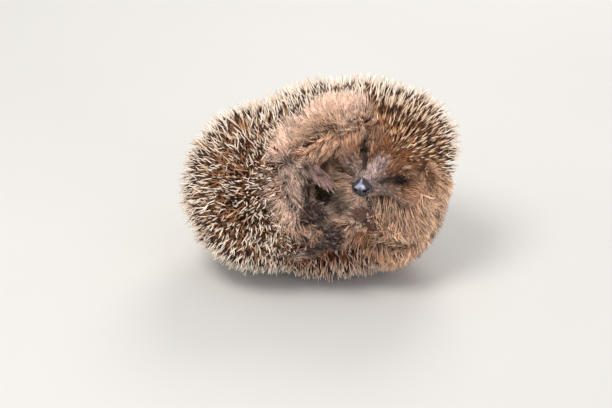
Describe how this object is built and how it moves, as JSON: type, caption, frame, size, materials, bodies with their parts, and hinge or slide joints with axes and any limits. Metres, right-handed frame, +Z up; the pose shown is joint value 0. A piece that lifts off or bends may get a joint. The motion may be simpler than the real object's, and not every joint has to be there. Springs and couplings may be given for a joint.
{
  "type": "hedgehog model",
  "caption": "Life-size still model of a young European hedgehog asleep on its side, curled up with its nose, paws and belly showing.",
  "frame": {"origin": "on the floor under the middle of the model's box", "axes": "+X from the rump to the head, +Y to the arched back, with the open belly side facing -Y and up, +Z up"},
  "size_m": [0.1556, 0.1052, 0.1117],
  "materials": {
    "spines": "banded keratin spines, cream tips over a dark brown band and a tan base",
    "fur": "coarse pinkish-grey and brown hair",
    "skin": "soft bare skin with dull claws",
    "nose": "moist, finely grained",
    "eye": "glossy black"
  },
  "bodies": {
    "root": {"nose": "nose", "eye_left": "eye", "eye_right": "eye", "ear_left": "skin", "ear_right": "skin", "forepaw_right": "skin", "forepaw_left": "skin", "hindfoot_right": "skin", "hindfoot_left": "skin", "face": "fur", "tail": "fur", "foreleg_right": "fur", "foreleg_left": "fur", "hindleg_right": "fur", "hindleg_left": "fur", "belly": "fur", "muzzle": "fur", "crown": "spines", "neck": "spines", "shoulders": "spines", "back": "spines", "loin": "spines", "rump": "spines"}
  },
  "joints": []
}
